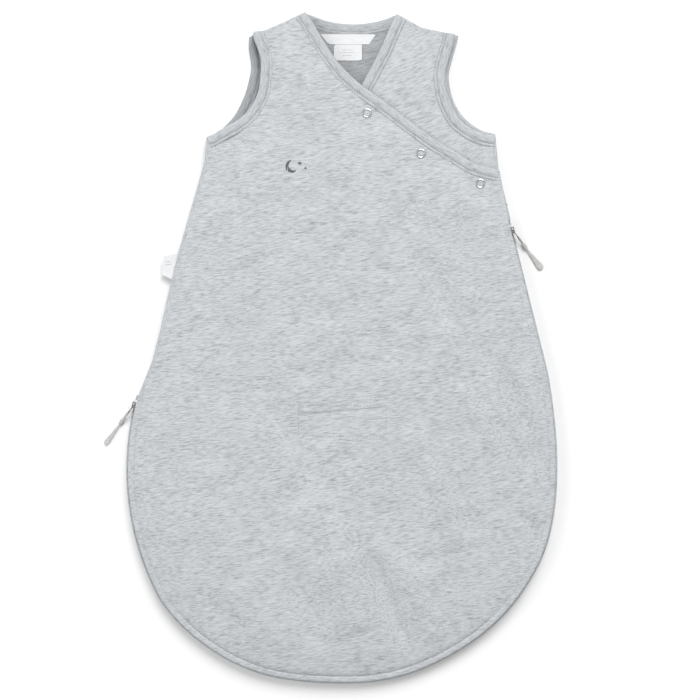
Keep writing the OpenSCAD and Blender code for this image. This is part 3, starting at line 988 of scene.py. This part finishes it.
def cloth(name, outlines, spacing, top, under, material=JERSEY_PANEL, reverse=None):
    """A flat-cut cloth, its outline first and then its holes. top and under give the heights
    of its two faces at each point.
    reverse is "top" or "under", for the face that shows the jersey's reverse side, drawn darker: partly its duller
    back, partly painted shade."""
    steps = [EDGE_STEP] + [HOLE_STEP] * (len(outlines) - 1)
    rims = [resample(np.concatenate([line, line[:1]]), step)[:-1]
            for line, step in zip(outlines, steps)]
    flat, faces = triangles(rims, outlines, cloth_points(rims, outlines, spacing))
    count = len(flat)
    body = np.concatenate([np.column_stack([flat, top(flat)]),
                           np.column_stack([flat, under(flat)])])
    all_faces = faces.tolist() + (faces[:, ::-1] + count).tolist() + walls(faces, count)
    piece = make_piece(name, (body, all_faces, None), material, "jersey")
    if reverse:
        piece.data.materials.append(JERSEY_INSIDE_SHADED)
        first = 0 if reverse == "top" else len(faces)
        for face in piece.data.polygons[first:first + len(faces)]:
            face.material_index = 1
    return piece


def flat_at(height):
    return lambda points: np.full(len(points), height)


# Where the bend starts and ends, across the fold line
BEND = (-2 * MM, 28 * MM)


def crosses_fold(piece):
    """The cloth rolls over in a soft bend where the front folds open."""
    start, end = (FOLD_POINT + reach * FOLD_ACROSS for reach in BEND)
    height = fold["pos_m"][2]
    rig.blend(piece, "back", "front", (*start, height), (*end, height))
    return piece


def attach(piece, body, *nodes):
    """Ties a piece to a body, or to both sides of the fold, in place of the named CAD nodes."""
    if nodes:
        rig.replaces(piece, *nodes)
    return crosses_fold(piece) if body == "both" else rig.ride(piece, body)


def size_of(outline):
    return tuple(outline.max(axis=0) - outline.min(axis=0))


front = cloth("front_cloth", [FRONT, slit_hole], 3.4 * MM, front_height, front_under,
              reverse="under")
attach(front, "both", "front_panel", "front_side_panel")
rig.sheet(front, flat=size_of(FRONT), held="laid", rests_on=["back_panel"], area=area(FRONT))

SAG = 0.15 * MM
# Its top face, the bag's inside, shows the reverse side darkened as painted shade
back = cloth("back_cloth", [inset(BACK, 0.3 * MM), slit_hole], 6 * MM,
             lambda points: BACK_TOP + SAG * waves(points, 60 * MM, 8), flat_at(0.0),
             reverse="top")
attach(back, "back", "back_panel")
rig.sheet(back, flat=size_of(BACK), held="laid", area=area(BACK))


def lap_height(points):
    gap, _ = nearest(points, LAP, closed=True)
    soft = np.clip((gap - CROWN_START) / (20 * MM), 0, 1)
    rise = soft * (0.5 + 0.35 * waves(points, 45 * MM, 12)) * MM
    return LAP_TOP + rise * clear_of_snaps(points)


lap = cloth("underlap_cloth", [LAP], 4.5 * MM, lap_height,
            lambda points: lap_height(points) - CLOTH, JERSEY_LAP, reverse="under")
attach(lap, "back", "underlap")
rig.sheet(lap, flat=size_of(LAP), held="laid", rests_on=["back_cloth"], area=area(LAP))

# ---- Strips sewn along the edges ----


def strip(name, line, profile, material, slot, step=2.2 * MM):
    """A strip along an edge. Its profile is (distance into the cloth, height), closed."""
    line = resample(line, step)
    rings = [np.column_stack([inset(line, distance), np.full(len(line), height)])
             for distance, height in profile]
    return make_piece(name, tube(np.stack(rings, axis=1)), material, slot)


def above(base, shape):
    """Profile points from millimetres, with their heights above base."""
    return [(distance * MM, base + height * MM) for distance, height in shape]


# Where the coverstitch's inner row sinks into a strip, as a share of its width
GROOVE = 0.74


def binding_profile(low, high, width, thick=0.85 * MM, groove=-0.05, floor=-1.0):
    """Cross-section of a folded strip over an edge, with its coverstitch groove."""
    top = [(width + 0.4 * MM, high - 0.1 * MM), (width, high + thick * 0.55),
           (width - 0.9 * MM, high + thick * 0.75), (0.80 * width, high + thick * 0.75),
           (GROOVE * width, high + thick * groove), (0.68 * width, high + thick * 0.85),
           (0.45 * width, high + thick * 1.1), (0.2 * width, high + thick),
           (0.2 * MM, high + thick * 0.5), (-0.45 * MM, high - 0.1 * MM)]
    bottom = [(distance, low - (height - high)) for distance, height in reversed(top)]
    bottom = [(distance, max(height, floor)) for distance, height in bottom]
    middle = [(-0.6 * MM, (low + high) / 2)]
    return top + middle + bottom


def wall_profile(top):
    """Cross-section of a rolled seam that joins a raised cloth's edge down to the back."""
    outer = (above(top, [(3.0, 0.05), (1.2, 0.12), (0.2, -0.3), (-0.5, -1.4)])
             + [(-0.9 * MM, top * 0.6), (-0.9 * MM, top * 0.35)]
             + above(0, [(-0.4, 0.9), (0.4, 0.15), (1.5, 0)]))
    inner = (above(0, [(1.7, 1.2), (0.5, 2.6)]) + [(0.25 * MM, top * 0.5)]
             + above(top, [(0.5, -2.2), (1.6, -1.3), (3.0, -1.0)]))
    return outer + inner


NECK_WIDTH = 10 * MM
BACK_NECK_WIDTH = 9.2 * MM
LAP_UNDER = LAP_TOP - CLOTH
BACK_LOW = 0.6 * MM

on_front = binding_profile(FRONT_UNDER, FRONT_TOP, NECK_WIDTH)
on_lap = binding_profile(LAP_UNDER, LAP_TOP, NECK_WIDTH)
on_back = binding_profile(BACK_LOW, BACK_TOP, NECK_WIDTH, floor=0.0)
on_back_neck = binding_profile(BACK_LOW, BACK_TOP, BACK_NECK_WIDTH, 0.35 * MM, 0.4, floor=0.0)


def bind(name, line, profile, *nodes, body="back", material=JERSEY_STRIP):
    attach(strip(name, line, profile, material, "jersey"), body, *nodes)


bind("neck_strip_front", neck_front, on_front, "neck_binding_front", body="both")
# The back neck strip takes painted shade
bind("neck_strip_back", neck_back, on_back_neck, "neck_binding_back", material=JERSEY_NECK_SHADED_STRIP)
bind("neck_strip_underlap", lap_neck, on_lap, "neck_binding_underlap")
# The left back strip takes painted shade; the right one below does not
bind("arm_strip_left_back", arm_left_back, on_back, material=JERSEY_SHADED_ARM_STRIP)
bind("arm_strip_left_front", arm_left_front, on_front, "armhole_binding_left")
bind("arm_strip_right_back", arm_right_back, on_back)
bind("arm_strip_right_front", arm_right_front, on_lap, "armhole_binding_right")
for name, edge, top in (("seam_side_left", side_left, FRONT_TOP),
                        ("seam_shoulder_left", shoulder_left, FRONT_TOP),
                        ("seam_shoulder_right", shoulder_right, LAP_TOP),
                        ("seam_side_right", side_right, LAP_TOP)):
    bind(name, edge, wall_profile(top))

# Rolled edge of the front outside the zip, and the piped edge of the back under it
hem_profile = (above(FRONT_TOP, [(4.2, -1.0), (2.6, -0.35), (1.5, -0.12), (0.6, -0.2),
                                 (-0.1, -0.6), (-0.6, -1.2), (-0.8, -2.0), (-0.6, -2.9),
                                 (-0.2, -3.3), (0.05, -2.6)])
               + above(FRONT_UNDER, [(0.1, 0.1), (4.0, 0.1)]))
bind("hem_zip_front", front_zip, hem_profile, body="both", material=JERSEY_PANEL)
bind("hem_wrap_side", wrap_side, hem_profile, body="front", material=JERSEY_PANEL)
pipe_profile = (above(BACK_TOP, [(2.2, -0.1), (2.2, 0.9), (1.7, 1.6), (0.7, 1.8),
                                 (-0.1, 1.4), (-0.5, 0.5)])
                + above(0, [(-0.5, 1.0), (-0.1, 0.3), (0.6, 0), (2.0, 0)]))
bind("zip_piping", back_zip, pipe_profile, "zip_guard")

# ---- Zip ----

CHAIN_INSET = 3 * MM
COIL_PITCH = 1.35 * MM
WIRE = 0.30 * MM
COIL_HALF_WIDTH = 1.1 * MM
COIL_STEPS = 9
WIRE_SIDES = 5
ROW_GAP = 2.5 * MM


def coil(name, node, line, body):
    """A continuous nylon coil: one flattened turn for each tooth."""
    low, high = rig.box(node)[0].z, top_of(node)
    half_high = (high - low) / 2 - WIRE
    half_wide = COIL_HALF_WIDTH - WIRE
    length = lengths_along(line)[-1]
    centre = resample(line, length / int(length / COIL_PITCH * COIL_STEPS))
    across = inward(centre)
    angle = np.arange(len(centre)) / COIL_STEPS * TURN
    flat = centre + across * (half_wide * np.cos(angle))[:, None]
    height = (low + high) / 2 + half_high * np.sin(angle)
    wire = np.column_stack([flat, height])
    ahead = tangents(wire)
    side = np.cross(ahead, [0.0, 0.0, 1.0])
    side /= np.linalg.norm(side, axis=1, keepdims=True) + 1e-12
    up = np.cross(side, ahead)
    rings = [wire + WIRE * (side * math.cos(a) + up * math.sin(a))
             for a in np.arange(WIRE_SIDES) / WIRE_SIDES * TURN]
    attach(make_piece(name, tube(np.stack(rings, axis=1)), COIL, "zip_coil"), body, node)


moving = fold_distance(front_zip) > 0
chain_back = inset(back_zip, CHAIN_INSET)
chain_front = inset(front_zip[moving], CHAIN_INSET - ROW_GAP)
chain_end = inset(front_zip[~moving], CHAIN_INSET - ROW_GAP)
coil("coil_back", "zip_coil_back", chain_back, "back")
coil("coil_front", "zip_coil_front", chain_front, "both")
coil("coil_front_end", "zip_coil_front_end", chain_end, "back")

FLANGE = 8 * MM
FLANGE_T = 0.6 * MM
TAPE_T = 0.8 * MM


def tape(name, node, line, root, far, body):
    """Woven tape: a flat flange sewn to the cloth at root, and an upright web on to far."""
    half = TAPE_T / 2
    inner = root + math.copysign(FLANGE_T, far - root)
    profile = [(-half, far), (-half, root), (half + FLANGE, root),
               (half + FLANGE, inner), (half, inner), (half, far)]
    attach(strip(name, line, profile, TAPE, "zip_tape", step=3 * MM), body, node)


tape("tape_back", "zip_tape_back", chain_back, BACK_TOP, top_of("zip_tape_back"), "back")
tape("tape_front", "zip_tape_front", chain_front, FRONT_UNDER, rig.box("zip_tape_front")[0].z,
     "both")

# ---- Stitching ----

STITCH_R = 0.26 * MM
STITCH_RINGS = [(0.0, 0.35), (0.12, 0.9), (0.5, 1.15), (0.88, 0.9), (1.0, 0.35)]


def stitch_row(line, length, gap, radius):
    """Short loops of thread along a line of (x, y, z) points, each dipping at its ends."""
    along = lengths_along(line)

    def at(place):
        return np.array([np.interp(place, along, line[:, k]) for k in range(3)])

    shapes = []
    for i in range(int(along[-1] / (length + gap))):
        begin = (i + 0.1) * (length + gap)
        ring_list = []
        for share, girth in STITCH_RINGS:
            centre = at(begin + share * length)
            after = at(begin + share * length + 0.2 * MM)
            ahead = (after - centre) / (np.linalg.norm(after - centre) + 1e-12)
            side = np.array([-ahead[1], ahead[0], 0.0])
            up = np.cross(ahead, side)
            dip = (abs(share - 0.5) * 2) ** 3 * radius * 1.2
            centre = centre - [0, 0, dip]
            ring_list.append([centre + radius * girth * (side * math.cos(a) + up * math.sin(a))
                              for a in np.arange(6) / 6 * TURN])
        shapes.append(tube(np.array(ring_list)))
    return shapes


def seam(edge, distance, height, length=2.1 * MM, gap=0.9 * MM, radius=STITCH_R):
    """Stitches a distance in from an edge, at a height or at what a function gives there."""
    line = resample(inset(resample(edge, 3 * MM), distance), 1.5 * MM)
    z = height(line) if callable(height) else np.full(len(line), height)
    return stitch_row(np.column_stack([line, z]), length, gap, radius)


def sewn(name, rows, body, material=SEWING_SHADED, slot="thread"):
    shapes = [shape for row in rows for shape in row]
    return attach(make_piece(name, joined(shapes), material, slot), body)


OUTER_ROW = 1.05
LAP_SEAM_INSET = 6 * MM


def binding_rows(edge, width, height):
    return [seam(edge, GROOVE * width, height + 0.30 * MM),
            seam(edge, OUTER_ROW * width, height + 0.20 * MM)]


sewn("stitches_neck_front", binding_rows(neck_front, NECK_WIDTH, FRONT_TOP), "both")
back_rows = binding_rows(neck_back, BACK_NECK_WIDTH, BACK_TOP)
for edge, top in ((arm_left_back, BACK_TOP), (arm_right_back, BACK_TOP),
                  (arm_left_front, FRONT_TOP), (arm_right_front, LAP_TOP), (lap_neck, LAP_TOP)):
    back_rows += binding_rows(edge, NECK_WIDTH, top)
back_rows += [seam(side_left, SIDE_SEAM_INSET, front_height),
              seam(lap_lower, LAP_SEAM_INSET, lap_height)]
sewn("stitches_back", back_rows, "back")
sewn("stitches_zip", [seam(front_zip, SEAM_INSET, front_height, 2.4 * MM, 1.1 * MM)], "both",
     SEWING_PALE_SHADED)
foot = front_zip[front_zip[:, 1] < FOOT_SEAM - 50 * MM]
sewn("stitches_foot", [seam(foot, SEAM_INSET, lambda points: front_height(points) + 0.1 * MM,
                            2.6 * MM, 0.2 * MM, 0.28 * MM)], "front")

# ---- Harness slot ----

slot_low, slot_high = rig.box("harness_facing_front")
slot_box = np.array([(slot_low.x, slot_low.y), (slot_low.x, slot_high.y),
                     (slot_high.x, slot_high.y), (slot_high.x, slot_low.y)])
FACING_T = slot_high.z - slot_low.z
facing = cloth("slot_facing_front", [slot_box, slit_hole], 4 * MM, front_under,
               lambda points: front_under(points) - FACING_T, JERSEY_INSIDE_SHADED)
attach(facing, "front", "harness_facing_front")
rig.sheet(facing, flat=size_of(slot_box), held="laid", rests_on=["front_cloth"])
back_facing = cloth("slot_facing_back", [slot_box, slit_hole], 4 * MM,
                    flat_at(BACK_TOP + FACING_T + 0.1 * MM), flat_at(BACK_TOP + 0.05 * MM),
                    JERSEY_INSIDE_SHADED)
attach(back_facing, "back", "harness_facing_back")
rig.sheet(back_facing, flat=size_of(slot_box), held="laid", rests_on=["back_cloth"])

# The topstitching runs a little inside the facing's edge
slot_middle = slot_box.mean(axis=0)
around_slot = np.concatenate([slot_box, slot_box[:1]]) - slot_middle
around_slot = resample(around_slot * 0.965 + slot_middle, 2 * MM)
for name, body, height, radius in (
        ("stitches_slot_front", "front", front_height(around_slot) + 0.08 * MM, 0.24 * MM),
        ("stitches_slot_back", "back", np.full(len(around_slot), 0.05 * MM), 0.2 * MM)):
    line = np.column_stack([around_slot, height])
    sewn(name, [stitch_row(line, 2.0 * MM, 1.2 * MM, radius)], body, SEWING_PALE_SHADED)

# ---- Labels ----


def label(name, node, height, curl):
    """A woven satin label, with its folded ends a little raised."""
    outline = level_outlines(node, top_of(node))[0]
    middle = outline.mean(axis=0)
    reach = np.abs(outline - middle).max()
    thick = top_of(node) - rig.box(node)[0].z

    def top(points):
        return height + thick + curl * (np.linalg.norm(points - middle, axis=1) / reach) ** 3

    piece = cloth(name, [outline], 2.5 * MM, top, lambda points: top(points) - thick * 0.8, LABEL)
    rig.slot(piece, "label")
    attach(piece, "back", node)


label("label_neck", "neck_label", BACK_TOP, 0.25 * MM)
label("label_size", "size_label", BACK_TOP, 0.35 * MM)
label("label_side", "side_label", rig.box("side_label")[0].z, 0.6 * MM)


def dashes(name, node, height, rows, turn):
    """Plain woven lines in place of print. rows are (across, begin, end) in millimetres."""
    middle = middle_of(node)
    along = np.array([math.cos(turn), math.sin(turn)])
    down = np.array([along[1], -along[0]])
    shapes = []
    for across, begin, end in rows:
        line = resample(np.array([middle + down * across * MM + along * place * MM
                                  for place in (begin, end)]), 1 * MM)
        shapes.append(stitch_row(np.column_stack([line, np.full(len(line), height)]),
                                 1.6 * MM, 0.5 * MM, 0.22 * MM))
    sewn(name, shapes, "back", LABEL_MARK, "label")


dashes("label_size_marks", "size_label", top_of("size_label") + 0.1 * MM,
       [(-2.6, -6, 6), (0.0, -8, 8), (2.6, -5, 5)], 0.0)
dashes("label_side_marks", "side_label", top_of("side_label") + 0.3 * MM,
       [(-5.2, -5, 0), (-2.6, -6, 1)], math.radians(10))

# ---- Embroidery ----

MOON_R = 6 * MM
MOON = np.array([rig.box("embroidered_motif")[0].x + MOON_R, middle_of("embroidered_motif")[1]])
BITE_R = 5 * MM
BITE_OFFSET = mm(2.6, 1.2)
STARS = [(MOON + mm(8, 3), 2.6 * MM), (MOON + mm(13.5, -1.5), 1.8 * MM)]
STAR_INNER = 0.42
THREAD_R = 0.24 * MM


def satin(shape, angle):
    """Threads laid side by side across a closed shape."""
    along = np.array([math.cos(angle), math.sin(angle)])
    across = np.array([-along[1], along[0]])
    spans = []
    for offset in np.arange((shape @ across).min() + THREAD_R, (shape @ across).max(),
                            THREAD_R * 1.7):
        steps = np.arange((shape @ along).min(), (shape @ along).max(), 0.15 * MM)
        run = across * offset + along * steps[:, None]
        held = inside(run, shape)
        edges = np.flatnonzero(np.diff(np.concatenate([[0], held.astype(int), [0]])))
        for begin, end in zip(edges[::2], edges[1::2]):
            if end - begin > 3:
                spans.append(run[begin:end])
    rows = []
    for span in spans:
        line = np.column_stack([span, front_height(span) + THREAD_R * 1.1])
        length = lengths_along(line)[-1]
        rows.append(stitch_row(line, length * 0.98, length * 0.01, THREAD_R))
    return rows


def from_gap(points):
    """The points of a broken ring, started just after its gap."""
    after = int(np.argmax(np.linalg.norm(np.diff(points, axis=0), axis=1))) + 1
    return np.roll(points, -after, axis=0)


around = np.linspace(0, TURN, 60, endpoint=False)
circle = np.column_stack([np.cos(around), np.sin(around)])
disc = MOON + MOON_R * circle
bite = MOON + BITE_OFFSET + BITE_R * circle
crescent = np.concatenate([from_gap(disc[~inside(disc, bite)]),
                           from_gap(bite[inside(bite, disc)])[::-1]])
threads = satin(crescent, math.radians(20))
for middle, radius in STARS:
    tips = [radius * (STAR_INNER if i % 2 else 1.0)
            * np.array([math.sin(i * math.pi / 5), math.cos(i * math.pi / 5)])
            for i in range(10)]
    threads += satin(middle + np.array(tips), math.radians(70))
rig.replaces(sewn("moon_and_stars", threads, "front", EMBROIDERY), "embroidered_motif")

# ---- Metal parts kept from the CAD ----


def finish_node(node, material, bevel):
    piece = nodes[node]
    piece.data.materials.clear()
    piece.data.materials.append(material)
    if bevel:
        rounding = piece.modifiers.new("rounded_edges", "BEVEL")
        rounding.width = bevel
        rounding.segments = 2
        rounding.limit_method = "ANGLE"
        rounding.angle_limit = math.radians(40)


for n in (1, 2, 3):
    for kind in ("cap_ring", "socket", "stud", "post_ring"):
        finish_node(f"snap_{kind}_{n}", BRIGHT_NICKEL, 0)
for node in ("upper_slider", "lower_slider", "upper_pull_tab", "lower_pull_tab"):
    finish_node(node, DARK_NICKEL, 0.12 * MM)
for node in ("zip_end_stop", "zip_top_stop_back", "zip_top_stop_front"):
    finish_node(node, DARK_NICKEL, 0.1 * MM)
finish_node("zip_tape_front_end", TAPE, 0)

# ---- Floor and light ----


FLOOR_HALF = 6.0
FLOOR_HEIGHT = -0.2 * MM
FLOOR_SHADE = 0.90
STUDIO_LIGHT = 0.58


def make_floor():
    mesh = bpy.data.meshes.new("floor")
    corners = [(x * FLOOR_HALF, y * FLOOR_HALF, FLOOR_HEIGHT)
               for x, y in ((-1, -1), (1, -1), (1, 1), (-1, 1))]
    mesh.from_pydata(corners, [], [(0, 1, 2, 3)])
    material, _, shader = shader_tree("floor")
    set_inputs(shader, {"Base Color": (*[FLOOR_SHADE] * 3, 1), "Roughness": 0.9})
    mesh.materials.append(material)
    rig.stage(new_object("floor", mesh))


def add_light(name, place, size, power):
    data = bpy.data.lights.new(name, "AREA")
    data.shape = "DISK"
    data.size = size
    data.energy = power
    light = new_object(name, data)
    light.location = place
    light.rotation_euler = (-Vector(place)).to_track_quat("-Z", "Y").to_euler()


make_floor()
add_light("key", place=(0.7, 3.0, 3.5), size=3.0, power=161)
add_light("side", place=(-2.8, 0.4, 2.3), size=1.8, power=26)
world = bpy.data.worlds.new("studio")
world.use_nodes = True
set_inputs(world.node_tree.nodes["Background"], {"Color": (1, 1, 1, 1), "Strength": STUDIO_LIGHT})
scene.world = world
scene.view_settings.view_transform = "Standard"

with open("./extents.json", "w") as sizes:
    json.dump({"cad": cad_box, "visual": [list(corner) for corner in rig.bounds()]}, sizes)
